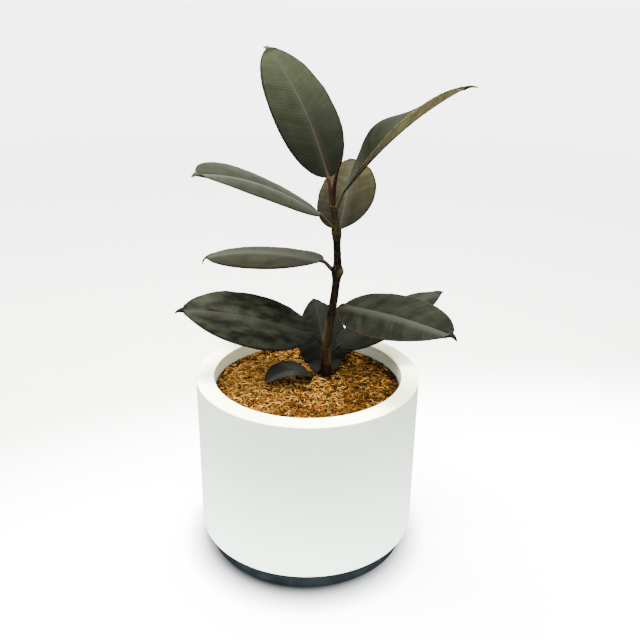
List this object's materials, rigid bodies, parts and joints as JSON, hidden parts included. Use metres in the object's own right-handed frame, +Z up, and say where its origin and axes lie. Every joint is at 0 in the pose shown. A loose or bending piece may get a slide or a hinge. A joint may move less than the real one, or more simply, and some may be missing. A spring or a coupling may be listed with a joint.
{
  "type": "potted rubber plant",
  "caption": "Young rubber plant with a slim leaning stem, large dark oval leaves on short stalks and a pointed bud, in mulched soil inside a white drum planter on a recessed foot.",
  "frame": {"origin": "centre of the flat underside of the planter's foot, on the ground", "axes": "+Z up; with the planter seen from its front, +X is to the right and +Y away from the viewer"},
  "size_m": [0.3974, 0.4141, 0.7004],
  "materials": {
    "planter_white": "satin",
    "foot_black": "matte",
    "liner_black": "satin",
    "soil": "rough",
    "mulch": "rough",
    "stem_bark": "matte",
    "bud_sheath": "satin",
    "leaf_green": "satin"
  },
  "bodies": {
    "root": {"planter_shell": "planter_white", "planter_foot": "foot_black", "nursery_liner": "liner_black", "potting_soil": "soil", "mulch_bed": "mulch", "main_stem": "stem_bark", "terminal_bud": "bud_sheath", "crown_leaf": "leaf_green", "upper_right_leaf": "leaf_green", "upper_left_leaf": "leaf_green", "upper_back_leaf": "leaf_green", "middle_left_leaf": "leaf_green", "lower_right_leaf": "leaf_green", "lower_left_leaf": "leaf_green", "lower_back_right_leaf": "leaf_green", "foot_back_leaf": "leaf_green", "foot_small_leaf": "leaf_green"}
  },
  "joints": []
}
